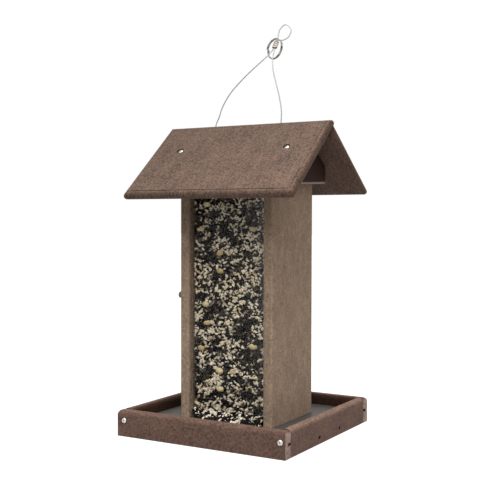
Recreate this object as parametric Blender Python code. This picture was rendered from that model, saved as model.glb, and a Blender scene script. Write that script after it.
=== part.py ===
# Hopper bird feeder of recycled-plastic board, with a gable roof, a seed tray and a hanging cable.
# Metres, +Z up. X runs along the ridge, -Y is the front, and the tray stands on z = 0.

import math

import bmesh
import bpy
import numpy as np
from mathutils import Matrix, Vector

# Clearances between pieces
seat_gap = 0.0003
pane_gap = 0.0004
block_gap = 0.0016
cable_hole_gap = 0.0009

# Boards
board = 0.0127
board_round = 0.0060
upright_round = 0.0030
round_steps = 4

# Tray
tray_width = 0.2286
tray_depth = 0.2286
rail_height = 0.0320
rail_round = 0.0058
rail_ease = 0.0008
groove_depth = 0.0064
floor_sheet = 0.0030
plank_lift = 0.0015
plank_depth = 0.0890

# Hopper
hopper_width = 0.1038
upright_depth = 0.1070
upright_crown = 0.0060
pane_sheet = 0.0024
pane_inset = 0.0066
pane_groove_depth = 0.0050
seed_gap = 0.0125
pane_headroom = 0.0120
baffle_depth = 0.0560
baffle_height = 0.0220
baffle_crown = 0.0030

# Roof
roof_length = 0.2306
roof_slope = 0.1361
roof_pitch = math.radians(38.0)
roof_lean = math.radians(2.3)
apex_height = 0.3810
block_thickness = 0.0159
block_height = 0.0606
block_crown = 0.0080
block_round = 0.0045
screw_down_slope = 0.0553
screw_inset_left = 0.0043
screw_inset_right = 0.0123
roof_screw_sink = 0.0009

# Cable, its sleeve, its ring and its lugs
cable_wire = 0.0015
cable_inset = 0.0053
leg_split = 0.0063
lug_drop = 0.0690
lug_barrel = 0.0044
lug_barrel_length = 0.0090
lug_barrel_ease = 0.0006
lug_barrel_sink = 0.0004
lug_barrel_stand = 0.0020
lug_plate = 0.0013
lug_width = 0.0090
lug_reach = 0.0080
sleeve_width = 0.0066
sleeve_thickness = 0.0042
sleeve_gap = 0.0006
strand_spacing = 0.0024
strand_run_out = 0.0020
ring_outer = 0.0266
ring_wire = 0.0013
ring_pitch = 0.0018
ring_turns = 2
ring_points_a_turn = 24

# Screws
rail_screw_height = 0.0196
rail_screw_length = 0.0320
side_screw_spread = 0.0564
side_screw_length = 0.0320
upright_screw_spread = 0.0600
upright_screw_length = 0.0440
baffle_screw_spread = 0.0500
baffle_screw_length = 0.0300
roof_screw_length = 0.0300
pane_screw_height = 0.1680
pane_screw_head = 0.0080
pane_screw_head_height = 0.0054
pane_screw_shank = 0.0037
knurls = 16
pan_head = 0.0070
pan_head_height = 0.0024
rail_shank = 0.0034
flat_head = 0.0072
flat_head_height = 0.0032
flat_head_sink = 0.0012
flat_head_rim = 0.0004
lug_screw_length = 0.0110
lug_head = 0.0066
screw_sides = 12

# Levels and faces that follow from the sizes above
half_width = tray_width / 2
half_depth = tray_depth / 2
plank_top = plank_lift + board
floor_bottom = plank_top + seat_gap
floor_top = floor_bottom + floor_sheet
upright_foot = floor_top + seat_gap
lug_screw_height = apex_height - lug_drop
upright_inner = hopper_width / 2
upright_outer = upright_inner + board
pane_outer_y = upright_depth / 2 - pane_inset
pane_mid_y = pane_outer_y - pane_sheet / 2
pane_foot = floor_top + seed_gap
pane_half_width = upright_inner + pane_groove_depth - pane_gap
block_inner = upright_outer + block_gap
cable_x = upright_inner - cable_inset
lug_barrel_x = upright_inner - seat_gap - lug_plate - lug_barrel / 2 + lug_barrel_sink
lug_bore_floor = seat_gap * 3
cable_radius = cable_wire / 2

# Route of the cable above the roof, chosen point by point. It leaves the left hole of the ridge,
# goes up through the sleeve, round the top loop, back through the sleeve and down to the right hole.
sleeve_foot = Vector((0.0316, 0.0112, 0.4728))
sleeve_head = Vector((0.0335, 0.0147, 0.4815))
ring_centre = Vector((0.0329, 0.0113, 0.4721))
ring_normal = Vector((0.285, 0.946, -0.140)).normalized()
left_run = [
    (-0.0462, 0.0000, 0.3815),
    (-0.0419, -0.0002, 0.3912),
    (-0.0376, -0.0004, 0.4010),
    (-0.0255, -0.0003, 0.4186),
    (-0.0068, 0.0002, 0.4363),
    (0.0099, 0.0018, 0.4500),
    (0.0244, 0.0060, 0.4628),
]
top_loop = [
    (0.0336, 0.0176, 0.4882),
    (0.0351, 0.0196, 0.4971),
    (0.0418, 0.0214, 0.5026),
    (0.0500, 0.0203, 0.4962),
    (0.0478, 0.0184, 0.4888),
    (0.0425, 0.0172, 0.4858),
    (0.0380, 0.0163, 0.4848),
]
right_run = [
    (0.0323, 0.0057, 0.4571),
    (0.0354, 0.0020, 0.4428),
    (0.0403, 0.0000, 0.4281),
    (0.0449, -0.0006, 0.4119),
    (0.0476, -0.0004, 0.3941),
    (0.0469, 0.0000, 0.3815),
]


def clear_scene():
    for item in list(bpy.data.objects):
        bpy.data.objects.remove(item, do_unlink=True)


def make_material(name, colour, roughness, metallic=0.0, alpha=1.0):
    material = bpy.data.materials.new(name)
    material.use_nodes = True
    shader = material.node_tree.nodes["Principled BSDF"]
    shader.inputs["Base Color"].default_value = (*colour, 1.0)
    shader.inputs["Roughness"].default_value = roughness
    shader.inputs["Metallic"].default_value = metallic
    shader.inputs["Alpha"].default_value = alpha
    return material


def link_mesh(name, bm, material=None, location=(0, 0, 0), rotation=(0, 0, 0), smooth_angle=35):
    """Turn a bmesh into a named object; the mesh is written around the object's origin."""
    bmesh.ops.recalc_face_normals(bm, faces=bm.faces)
    mesh = bpy.data.meshes.new(name)
    bm.to_mesh(mesh)
    bm.free()
    mesh.shade_smooth()
    mesh.set_sharp_from_angle(angle=math.radians(smooth_angle))
    piece = bpy.data.objects.new(name, mesh)
    bpy.context.scene.collection.objects.link(piece)
    piece.location = location
    piece.rotation_euler = rotation
    if material:
        mesh.materials.append(material)
    return piece


def add_box(bm, low, high):
    size = Vector(high) - Vector(low)
    middle = (Vector(high) + Vector(low)) / 2
    matrix = Matrix.Translation(middle) @ Matrix.Diagonal((*size, 1.0))
    return bmesh.ops.create_cube(bm, size=1.0, matrix=matrix)["verts"]


def add_prism(bm, outline, x_low, x_high):
    """A prism along X over an outline of (y, z) points."""
    near = [bm.verts.new((x_low, y, z)) for y, z in outline]
    face = bm.faces.new(near)
    grown = bmesh.ops.extrude_face_region(bm, geom=[face])["geom"]
    moved = [item for item in grown if isinstance(item, bmesh.types.BMVert)]
    bmesh.ops.translate(bm, verts=moved, vec=(x_high - x_low, 0, 0))


def add_turned(bm, profile, matrix, sides=screw_sides, flutes=None):
    """A closed turned body: profile holds (radius, height) pairs, and its first and last radius are 0."""
    rings = []
    for radius, height in profile:
        if radius == 0:
            rings.append([bm.verts.new(matrix @ Vector((0, 0, height)))])
            continue
        ring = []
        for step in range(sides):
            angle = 2 * math.pi * step / sides
            reach = radius * (flutes if flutes and step % 2 else 1.0)
            ring.append(bm.verts.new(matrix @ Vector((reach * math.cos(angle), reach * math.sin(angle), height))))
        rings.append(ring)
    for lower, upper in zip(rings, rings[1:]):
        for step in range(sides):
            after = (step + 1) % sides
            corners = [lower[step % len(lower)], lower[after % len(lower)]]
            corners += [upper[after % len(upper)], upper[step % len(upper)]]
            unique = list(dict.fromkeys(corners))
            bm.faces.new(unique)


def round_edges(bm, chosen, radius, steps):
    edges = [edge for edge in bm.edges if chosen(*(vert.co for vert in edge.verts))]
    bmesh.ops.bevel(bm, geom=edges, offset=radius, segments=steps, profile=0.5, affect="EDGES", clamp_overlap=True)


def along(direction):
    """A frame whose +Z points into the material, along a screw."""
    return Vector(direction).to_track_quat("Z", "Y").to_matrix().to_4x4()


def cut(piece, cutter):
    modifier = piece.modifiers.new(cutter.name, "BOOLEAN")
    modifier.operation = "DIFFERENCE"
    modifier.solver = "EXACT"
    modifier.object = cutter


def make_cutter(name, bm):
    cutter = link_mesh(name, bm)
    cutter.hide_render = True
    cutter.display_type = "WIRE"
    return cutter


def pan_profile(head, height, shank, length, sink=0.0):
    lift = seat_gap - sink
    return [
        (0, -lift - height),
        (head * 0.30, -lift - height),
        (head * 0.45, -lift - height * 0.62),
        (head * 0.50, -lift),
        (shank / 2, -lift),
        (shank / 2, length - shank),
        (0, length),
    ]


def flat_profile(head, height, shank, length, sink):
    return [
        (0, sink),
        (head / 2, sink),
        (head / 2, sink + flat_head_rim),
        (shank / 2, sink + height),
        (shank / 2, length - shank),
        (0, length),
    ]


def hole_profile(shank, length, mouth=None, mouth_depth=0.0, cone_depth=0.0):
    """A clearance hole that starts outside the surface; mouth is a counterbore or the top of a countersink."""
    bore = shank / 2 + seat_gap
    outside = -0.004
    profile = [(0, outside)]
    if mouth:
        profile += [(mouth / 2, outside), (mouth / 2, mouth_depth), (bore, mouth_depth + cone_depth)]
    else:
        profile += [(bore, outside)]
    profile += [(bore, length + seat_gap), (0, length + seat_gap)]
    return profile


def screw_set(name, places, material, profile, hole):
    """Identical screws that share one mesh, and one cutter for all the holes that they sit in."""
    bm = bmesh.new()
    add_turned(bm, profile, Matrix.Identity(4))
    mesh = None
    screws = []
    holes = bmesh.new()
    for label, point, direction in places:
        frame = along(direction)
        if mesh is None:
            screw = link_mesh(f"{name}_{label}", bm, material)
            mesh = screw.data
        else:
            screw = bpy.data.objects.new(f"{name}_{label}", mesh)
            bpy.context.scene.collection.objects.link(screw)
        screw.location = point
        screw.rotation_euler = frame.to_euler()
        screws.append(screw)
        add_turned(holes, hole, Matrix.Translation(Vector(point)) @ frame)
    return screws, make_cutter(name + "_holes", holes)


def same_level(axis, level, tolerance=1e-6):
    return lambda one, two: abs(one[axis] - level) < tolerance and abs(two[axis] - level) < tolerance


def make_rails(material, groove_cutter, screw_cutter, side_cutter):
    """Front and back rails run the full width; the side rails stand between them."""
    for name, side in (("front_rail", -1), ("back_rail", 1)):
        bm = bmesh.new()
        near, far = sorted((side * half_depth, side * (half_depth - board)))
        add_box(bm, (-half_width, near, 0), (half_width, far, rail_height))
        round_edges(bm, same_level(2, rail_height), rail_round, round_steps)
        round_edges(bm, same_level(2, 0.0), rail_ease, 1)
        rail = link_mesh(name, bm, material)
        cut(rail, groove_cutter)
        cut(rail, screw_cutter)
    reach = half_depth - board - seat_gap
    for name, side in (("left_rail", -1), ("right_rail", 1)):
        bm = bmesh.new()
        near, far = sorted((side * half_width, side * (half_width - board)))
        add_box(bm, (near, -reach, 0), (far, reach, rail_height))
        lengthwise = lambda level: (
            lambda one, two: same_level(2, level)(one, two) and abs(one.x - two.x) < 1e-6
        )
        round_edges(bm, lengthwise(rail_height), rail_round, round_steps)
        round_edges(bm, lengthwise(0.0), rail_ease, 1)
        rail = link_mesh(name, bm, material)
        cut(rail, groove_cutter)
        cut(rail, screw_cutter)
        cut(rail, side_cutter)


def make_floor_groove():
    """One flat cutter for the groove in all four rails; it leaves through the ends of front and back rails."""
    bm = bmesh.new()
    depth = half_depth - board + groove_depth
    width = half_width - board + groove_depth
    low = floor_bottom - seat_gap
    high = floor_top + seat_gap
    add_box(bm, (-width, -depth, low), (width, depth, high))
    groove = make_cutter("floor_groove", bm)
    ends = bmesh.new()
    for side in (-1, 1):
        near, far = sorted((side * depth, side * (half_depth - board - seat_gap)))
        add_box(ends, (-half_width - board, near, low), (half_width + board, far, high))
    return groove, make_cutter("floor_groove_ends", ends)


def make_floor(material, upright_cutter, baffle_cutter):
    bm = bmesh.new()
    width = half_width - board + groove_depth - pane_gap
    depth = half_depth - board + groove_depth - pane_gap
    add_box(bm, (-width, -depth, floor_bottom), (width, depth, floor_top))
    floor = link_mesh("tray_floor", bm, material)
    cut(floor, upright_cutter)
    cut(floor, baffle_cutter)


def make_plank(material, side_cutter, upright_cutter, baffle_cutter):
    bm = bmesh.new()
    width = half_width - board - seat_gap
    add_box(bm, (-width, -plank_depth / 2, plank_lift), (width, plank_depth / 2, plank_top))
    plank = link_mesh("base_plank", bm, material)
    cut(plank, side_cutter)
    cut(plank, upright_cutter)
    cut(plank, baffle_cutter)


def under_roof(y, lean):
    """Drop from the ridge line to the roof's underside at y; a lean makes the front steeper than the back."""
    pitch = roof_pitch + lean if y < 0 else roof_pitch - lean
    return board / math.cos(pitch) + abs(y) * math.tan(pitch)


def house_outline(half, foot, crown, ridge, lean):
    """A pentagon with its crown cut flat, which follows the roof's underside a seat gap below it."""
    front = roof_pitch + lean
    back = roof_pitch - lean
    front_shoulder = ridge - under_roof(-half, lean) - seat_gap / math.cos(front)
    back_shoulder = ridge - under_roof(half, lean) - seat_gap / math.cos(back)
    top = ridge - under_roof(-crown / 2, lean) - seat_gap / math.cos(front)
    back_crown = half - (top - back_shoulder) / math.tan(back)
    outline = [(-half, foot), (half, foot), (half, back_shoulder), (back_crown, top)]
    return outline + [(-crown / 2, top), (-half, front_shoulder)]


def make_uprights(material, cutters):
    """The uprights stand plumb, and their tops are cut to the lean of the roof that rests on them."""
    half = upright_depth / 2
    outline = house_outline(half, upright_foot, upright_crown, apex_height, roof_lean)
    for name, side in (("left_upright", -1), ("right_upright", 1)):
        bm = bmesh.new()
        near, far = sorted((side * upright_inner, side * upright_outer))
        add_prism(bm, outline, near, far)
        corner = lambda one, two: (
            abs(abs(one.y) - half) < 1e-6 and abs(one.y - two.y) < 1e-6 and abs(one.x - two.x) < 1e-6
        )
        round_edges(bm, corner, upright_round, round_steps)
        upright = link_mesh(name, bm, material)
        for cutter in cutters[name]:
            cut(upright, cutter)


def make_pane_grooves():
    """Blind grooves, open at the top, whose lower ends carry the panes."""
    bm = bmesh.new()
    reach = upright_inner + pane_groove_depth
    half = pane_sheet / 2 + pane_gap
    for side in (-1, 1):
        for face in (-1, 1):
            near, far = sorted((side * (upright_inner - seat_gap), side * reach))
            middle = face * pane_mid_y
            low = (near, middle - half, pane_foot - seat_gap)
            high = (far, middle + half, apex_height)
            add_box(bm, low, high)
    return make_cutter("pane_grooves", bm)


def make_panes(material):
    """Clear panes, short of the steeper front of the roof by the headroom that lets them slide up."""
    pane_length = apex_height - under_roof(-pane_outer_y, roof_lean) - pane_headroom - pane_foot
    for name, face in (("front_pane", -1), ("back_pane", 1)):
        bm = bmesh.new()
        middle = face * pane_mid_y
        half = pane_sheet / 2
        add_box(bm, (-pane_half_width, -half, 0), (pane_half_width, half, pane_length))
        link_mesh(name, bm, material, location=(0, middle, pane_foot))


def make_pane_screws(material):
    """Knurled screws in the left upright that hold the panes by their edges."""
    tip = upright_outer - pane_half_width - seat_gap
    shank = [
        (pane_screw_shank / 2, -seat_gap),
        (pane_screw_shank / 2, tip - pane_screw_shank * 0.25),
        (pane_screw_shank * 0.3, tip),
        (0, tip),
    ]
    head_outer = -seat_gap - pane_screw_head_height
    rim = pane_screw_head / 2
    head = [
        (0, head_outer),
        (rim * 0.8, head_outer),
        (rim, head_outer + pane_screw_head_height * 0.15),
        (rim, -seat_gap - pane_screw_head_height * 0.12),
        (rim * 0.85, -seat_gap),
    ]
    holes = bmesh.new()
    for name, face in (("front_pane_screw", -1), ("back_pane_screw", 1)):
        place = Vector((-upright_outer, face * pane_mid_y, pane_screw_height))
        bm = bmesh.new()
        add_turned(bm, head + shank, along((1, 0, 0)), sides=2 * knurls, flutes=0.94)
        link_mesh(name, bm, material, location=place)
        matrix = Matrix.Translation(place) @ along((1, 0, 0))
        add_turned(holes, hole_profile(pane_screw_shank, tip + pane_gap), matrix, sides=knurls)
    return make_cutter("pane_screw_holes", holes)


def make_baffle(material, baffle_cutter):
    """A low ridge between the uprights that sends the seed towards both panes."""
    foot = floor_top + seat_gap
    half = baffle_depth / 2
    crown = baffle_crown / 2
    lip = foot + baffle_crown
    top = foot + baffle_height
    outline = [(-half, foot), (half, foot), (half, lip), (crown, top), (-crown, top), (-half, lip)]
    bm = bmesh.new()
    reach = upright_inner - seat_gap
    add_prism(bm, outline, -reach, reach)
    cut(link_mesh("seed_baffle", bm, material), baffle_cutter)


def roof_centre_height():
    """Height of the rounded ridge's centre, below both outer faces by half a board."""
    return apex_height - board / 2 / math.cos(roof_pitch) * math.cos(roof_lean)


def make_roof_boards(material, screw_cutter, cable_cutter, rig):
    """The front board is whole and rounded all round; the back board butts against its rounded ridge.

    The roof is laid out level around its ridge line, and the rig gives it its height and its lean.
    """
    ridge_overrun = board / 2 - math.tan(roof_pitch) * board / 2
    length = roof_slope + ridge_overrun
    middle_run = (roof_slope - ridge_overrun) / 2
    trim = bmesh.new()
    reach = roof_length
    add_box(trim, (-reach, -reach, -reach), (reach, board / 2 + seat_gap, board))
    trim_cutter = make_cutter("ridge_trim", trim)
    trim_cutter.parent = rig
    for name, face in (("roof_board_front", -1), ("roof_board_back", 1)):
        bm = bmesh.new()
        add_box(bm, (-roof_length / 2, -length / 2, -board / 2), (roof_length / 2, length / 2, board / 2))
        flat = lambda one, two: abs(one.z - two.z) < 1e-6
        round_edges(bm, flat, board_round, round_steps)
        y = face * (middle_run * math.cos(roof_pitch) - board / 2 * math.sin(roof_pitch))
        z = -middle_run * math.sin(roof_pitch) - board / 2 * math.cos(roof_pitch)
        turn = -face * roof_pitch
        panel = link_mesh(name, bm, material, location=(0, y, z), rotation=(turn, 0, 0))
        panel.parent = rig
        cut(panel, screw_cutter)
        cut(panel, cable_cutter if face < 0 else trim_cutter)


def make_gable_blocks(material, screw_cutter, rig):
    half = upright_depth / 2
    foot = -under_roof(0, 0) - block_height
    outline = house_outline(half, foot, block_crown, 0, 0)
    for name, side in (("gable_block_left", -1), ("gable_block_right", 1)):
        bm = bmesh.new()
        near, far = sorted((side * block_inner, side * (block_inner + block_thickness)))
        add_prism(bm, outline, near, far)
        outer = side * (block_inner + block_thickness)

        def seen_edge(one, two):
            on_face = abs(one.x - outer) < 1e-6 and abs(two.x - outer) < 1e-6
            foot_edge = abs(one.z - foot) < 1e-6 and abs(two.z - foot) < 1e-6
            side_edge = abs(abs(one.y) - half) < 1e-6 and abs(one.y - two.y) < 1e-6
            return on_face and (foot_edge or side_edge)

        round_edges(bm, seen_edge, block_round, round_steps)
        block = link_mesh(name, bm, material)
        block.parent = rig
        cut(block, screw_cutter)


def smooth_route(points, spacing):
    """Points at an even spacing along a smooth curve through the given ones."""
    knots = np.array([tuple(point) for point in points])
    ends = np.vstack([2 * knots[0] - knots[1], knots, 2 * knots[-1] - knots[-2]])
    dense = []
    for before, start, finish, after in zip(ends, ends[1:], ends[2:], ends[3:]):
        stops = [0.0]
        for one, two in ((before, start), (start, finish), (finish, after)):
            stops.append(stops[-1] + math.sqrt(np.linalg.norm(two - one)))
        for t in np.linspace(stops[1], stops[2], 24, endpoint=False):
            first = blend_points(before, start, stops[0], stops[1], t)
            second = blend_points(start, finish, stops[1], stops[2], t)
            third = blend_points(finish, after, stops[2], stops[3], t)
            lower = blend_points(first, second, stops[0], stops[2], t)
            upper = blend_points(second, third, stops[1], stops[3], t)
            dense.append(blend_points(lower, upper, stops[1], stops[2], t))
    dense.append(knots[-1])
    dense = np.array(dense)
    walked = np.concatenate([[0], np.cumsum(np.linalg.norm(np.diff(dense, axis=0), axis=1))])
    count = max(2, round(walked[-1] / spacing) + 1)
    places = np.linspace(0, walked[-1], count)
    return np.column_stack([np.interp(places, walked, dense[:, axis]) for axis in range(3)])


def blend_points(one, two, start, finish, t):
    share = (t - start) / (finish - start)
    return one * (1 - share) + two * share


def add_tube(name, points, radius, material, resolution=2):
    curve = bpy.data.curves.new(name, "CURVE")
    curve.dimensions = "3D"
    curve.bevel_depth = radius
    curve.bevel_resolution = resolution
    curve.use_fill_caps = True
    spline = curve.splines.new("POLY")
    spline.points.add(len(points) - 1)
    for place, point in zip(spline.points, points):
        place.co = (*point, 1.0)
    curve.materials.append(material)
    tube = bpy.data.objects.new(name, curve)
    bpy.context.scene.collection.objects.link(tube)
    return tube


def cable_split_height():
    """Where the cable above the roof meets its legs, inside the holes of the ridge."""
    return roof_centre_height() + board / 2 - leg_split


def strand_points():
    """The two strands inside the sleeve, side by side."""
    axis = (sleeve_head - sleeve_foot).normalized()
    across = Vector((0, 1, 0)).cross(axis).normalized()
    shift = across * strand_spacing / 2
    start = sleeve_foot - axis * strand_run_out
    finish = sleeve_head + axis * strand_run_out
    rising = [start.lerp(finish, step / 3) for step in range(4)]
    left = [point - shift for point in rising]
    right = [point + shift for point in reversed(rising)]
    return left, right


def make_hanger_cable(material):
    left, right = strand_points()
    split = cable_split_height() + seat_gap / 2
    start = Vector((-cable_x, 0, split))
    finish = Vector((cable_x, 0, split))
    route = [start, *left_run, *left, *top_loop, *right, *right_run, finish]
    add_tube("hanger_cable", smooth_route(route, cable_wire * 2.9), cable_radius, material)


def make_cable_legs(material):
    """Straight runs from the lugs up into the holes of the ridge."""
    foot = lug_screw_height + lug_reach + lug_bore_floor + seat_gap
    top = cable_split_height() - seat_gap / 2
    barrel_top = lug_screw_height + lug_reach + lug_barrel_length
    for name, side in (("left_cable_leg", -1), ("right_cable_leg", 1)):
        under_ridge = roof_centre_height() - board / 2
        route = [(lug_barrel_x, 0, foot), (lug_barrel_x, 0, barrel_top)]
        route += [(cable_x, 0, under_ridge), (cable_x, 0, top)]
        route = [(side * x, y, z) for x, y, z in route]
        add_tube(name, smooth_route(route, cable_wire * 2.5), cable_radius, material)


def make_cable_lugs(material, screw_cutter):
    low = lug_screw_height - lug_width / 2
    high = lug_screw_height + lug_reach + lug_barrel_length
    for name, side in (("left_cable_lug", -1), ("right_cable_lug", 1)):
        bm = bmesh.new()
        near, far = sorted((side * (upright_inner - seat_gap - lug_plate), side * (upright_inner - seat_gap)))
        add_box(bm, (near, -lug_width / 2, low), (far, lug_width / 2, high - lug_barrel_stand))
        upright_edge = lambda one, two: abs(abs(one.y) - lug_width / 2) < 1e-6 and abs(one.x - two.x) > 1e-6
        round_edges(bm, upright_edge, lug_width * 0.3, 3)
        lug = link_mesh(name, bm, material)
        barrel = bmesh.new()
        matrix = Matrix.Translation((side * lug_barrel_x, 0, lug_screw_height + lug_reach))
        rim = lug_barrel / 2
        profile = [(0, 0), (rim * 0.85, 0), (rim, lug_barrel_ease)]
        profile += [(rim, lug_barrel_length - lug_barrel_ease), (rim * 0.85, lug_barrel_length)]
        profile += [(0, lug_barrel_length)]
        add_turned(barrel, profile, matrix)
        joined = make_cutter(name + "_barrel", barrel)
        union = lug.modifiers.new("barrel", "BOOLEAN")
        union.operation = "UNION"
        union.solver = "EXACT"
        union.object = joined
        bore = bmesh.new()
        bore_radius = cable_radius + seat_gap
        mouth = lug_barrel_length + lug_barrel_stand
        profile = [(0, lug_bore_floor), (bore_radius, lug_bore_floor), (bore_radius, mouth), (0, mouth)]
        add_turned(bore, profile, matrix)
        cut(lug, make_cutter(name + "_bore", bore))
        cut(lug, screw_cutter)


def make_sleeve(material):
    """The crimped sleeve that holds the two strands below the loop."""
    left, right = strand_points()
    axis = (sleeve_head - sleeve_foot).normalized()
    across = (right[-1] - left[0]).normalized()
    through = axis.cross(across)
    frame = Matrix((across, through, axis)).transposed().to_4x4()
    frame.translation = (sleeve_foot + sleeve_head) / 2
    length = (sleeve_head - sleeve_foot).length
    bm = bmesh.new()
    size = Vector((sleeve_width, sleeve_thickness, length)) / 2
    add_box(bm, -size, size)
    lengthwise = lambda one, two: abs(one.z - two.z) > length / 2
    round_edges(bm, lengthwise, sleeve_thickness * 0.45, round_steps)
    rotation = frame.to_euler()
    sleeve = link_mesh("cable_sleeve", bm, material, location=frame.translation, rotation=rotation)
    bore = cable_radius + sleeve_gap
    reach = length / 2 + strand_run_out
    for name, side in (("left_bore", -1), ("right_bore", 1)):
        hollow = bmesh.new()
        matrix = frame @ Matrix.Translation((side * strand_spacing / 2, 0, 0))
        add_turned(hollow, [(0, -reach), (bore, -reach), (bore, reach), (0, reach)], matrix)
        cut(sleeve, make_cutter(name, hollow))


def ring_points():
    """Centre line of the split ring: two turns of wire, side by side."""
    radius = (ring_outer - ring_wire) / 2
    count = ring_turns * ring_points_a_turn
    points = []
    for step in range(count + 1):
        angle = 2 * math.pi * step / ring_points_a_turn
        rise = ring_pitch * (step / ring_points_a_turn - ring_turns / 2)
        points.append(Vector((radius * math.cos(angle), radius * math.sin(angle), rise)))
    return points


def make_ring(material):
    """The split ring; its origin is its centre."""
    points = ring_points()
    turn = ring_points_a_turn
    pairs = zip(points, points[turn:])
    least = min((two - one).length for one, two in pairs) - ring_wire
    print("split ring: least gap between its turns", round(least * 1000, 2), "mm")
    ring = add_tube("split_ring", points, ring_wire / 2, material, resolution=1)
    ring.location = ring_centre
    ring.rotation_euler = ring_normal.to_track_quat("Z", "Y").to_euler()


def build():
    clear_scene()
    brown = make_material("brown_poly_lumber", (0.125, 0.086, 0.070), 0.62)
    taupe = make_material("taupe_poly_lumber", (0.195, 0.145, 0.115), 0.62)
    grey = make_material("grey_sheet", (0.16, 0.165, 0.17), 0.55)
    clear = make_material("clear_polycarbonate", (0.90, 0.93, 0.93), 0.08, alpha=0.25)
    steel = make_material("stainless_steel", (0.62, 0.61, 0.59), 0.30, metallic=1.0)
    zinc = make_material("galvanised_cable", (0.55, 0.55, 0.54), 0.35, metallic=1.0)

    sides = (("left", -1), ("right", 1))
    faces = (("front", -1), ("back", 1))

    rail_x = half_width - board / 2
    places = []
    for side_name, side in sides:
        for face_name, face in faces:
            point = (side * rail_x, face * half_depth, rail_screw_height)
            places.append((f"{face_name}_{side_name}", point, (0, -face, 0)))
    pan = pan_profile(pan_head, pan_head_height, rail_shank, rail_screw_length)
    rail_hole = hole_profile(rail_shank, rail_screw_length)
    rail_holes = screw_set("tray_screw", places, steel, pan, rail_hole)[1]

    places = []
    for side_name, side in sides:
        for face_name, face in faces:
            point = (side * half_width, face * side_screw_spread / 2, plank_lift + board / 2)
            places.append((f"{face_name}_{side_name}", point, (-side, 0, 0)))
    mouth = flat_head + 2 * seat_gap
    flat = flat_profile(flat_head, flat_head_height, rail_shank, side_screw_length, flat_head_sink)
    flat_hole = hole_profile(rail_shank, side_screw_length, mouth, flat_head_sink, flat_head_height)
    side_holes = screw_set("plank_screw", places, steel, flat, flat_hole)[1]

    places = []
    for side_name, side in sides:
        for face_name, face in faces:
            point = (side * (upright_inner + board / 2), face * upright_screw_spread / 2, plank_lift)
            places.append((f"{face_name}_{side_name}", point, (0, 0, 1)))
    under = flat_profile(flat_head, flat_head_height, rail_shank, upright_screw_length, seat_gap)
    under_hole = hole_profile(rail_shank, upright_screw_length, mouth, seat_gap, flat_head_height)
    upright_holes = screw_set("upright_screw", places, steel, under, under_hole)[1]

    low = flat_profile(flat_head, flat_head_height, rail_shank, baffle_screw_length, seat_gap)
    low_hole = hole_profile(rail_shank, baffle_screw_length, mouth, seat_gap, flat_head_height)
    places = [(side_name, (side * baffle_screw_spread / 2, 0, plank_lift), (0, 0, 1)) for side_name, side in sides]
    baffle_holes = screw_set("baffle_screw", places, steel, low, low_hole)[1]

    insets = {"left": screw_inset_left, "right": screw_inset_right}
    places = []
    for side_name, side in sides:
        for face_name, face in faces:
            x = side * (block_inner + insets[side_name])
            y = face * screw_down_slope * math.cos(roof_pitch)
            z = -screw_down_slope * math.sin(roof_pitch)
            inward = (0, -face * math.sin(roof_pitch), -math.cos(roof_pitch))
            places.append((f"{face_name}_{side_name}", (x, y, z), inward))
    roof_pan = pan_profile(pan_head, pan_head_height, rail_shank, roof_screw_length, roof_screw_sink)
    roof_hole = hole_profile(rail_shank, roof_screw_length, pan_head + 4 * seat_gap, roof_screw_sink)
    roof_screws, roof_holes = screw_set("roof_screw", places, steel, roof_pan, roof_hole)

    lug_face = upright_inner - seat_gap - lug_plate
    places = [(side_name, (side * lug_face, 0, lug_screw_height), (side, 0, 0)) for side_name, side in sides]
    lug_pan = pan_profile(lug_head, pan_head_height, rail_shank, lug_screw_length)
    lug_holes = screw_set("lug_screw", places, steel, lug_pan, hole_profile(rail_shank, lug_screw_length))[1]

    groove, groove_ends = make_floor_groove()
    make_rails(brown, groove, rail_holes, side_holes)
    for name in ("front_rail", "back_rail"):
        cut(bpy.data.objects[name], groove_ends)
    make_floor(grey, upright_holes, baffle_holes)
    make_plank(brown, side_holes, upright_holes, baffle_holes)

    pane_grooves = make_pane_grooves()
    pane_screw_holes = make_pane_screws(steel)
    shared = [pane_grooves, upright_holes, lug_holes]
    make_uprights(taupe, {"left_upright": [*shared, pane_screw_holes], "right_upright": shared})
    make_panes(clear)
    make_baffle(taupe, baffle_holes)

    rig = bpy.data.objects.new("roof_slide", None)
    bpy.context.scene.collection.objects.link(rig)
    rig.location = (0, 0, apex_height)
    rig.rotation_euler = (roof_lean, 0, 0)
    cable_holes = bmesh.new()
    bore = cable_radius + cable_hole_gap
    for side in (-1, 1):
        matrix = Matrix.Translation((side * cable_x, 0, roof_centre_height()))
        add_turned(cable_holes, [(0, -board), (bore, -board), (bore, board), (0, board)], matrix)
    make_roof_boards(brown, roof_holes, make_cutter("cable_holes", cable_holes), rig)
    make_gable_blocks(brown, roof_holes, rig)
    for piece in [*roof_screws, roof_holes]:
        piece.parent = rig

    make_cable_lugs(zinc, lug_holes)
    make_cable_legs(zinc)
    make_hanger_cable(zinc)
    make_sleeve(zinc)
    make_ring(steel)


build()
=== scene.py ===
import math

import bpy
import numpy as np
from mathutils import Matrix, Vector, noise


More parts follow.
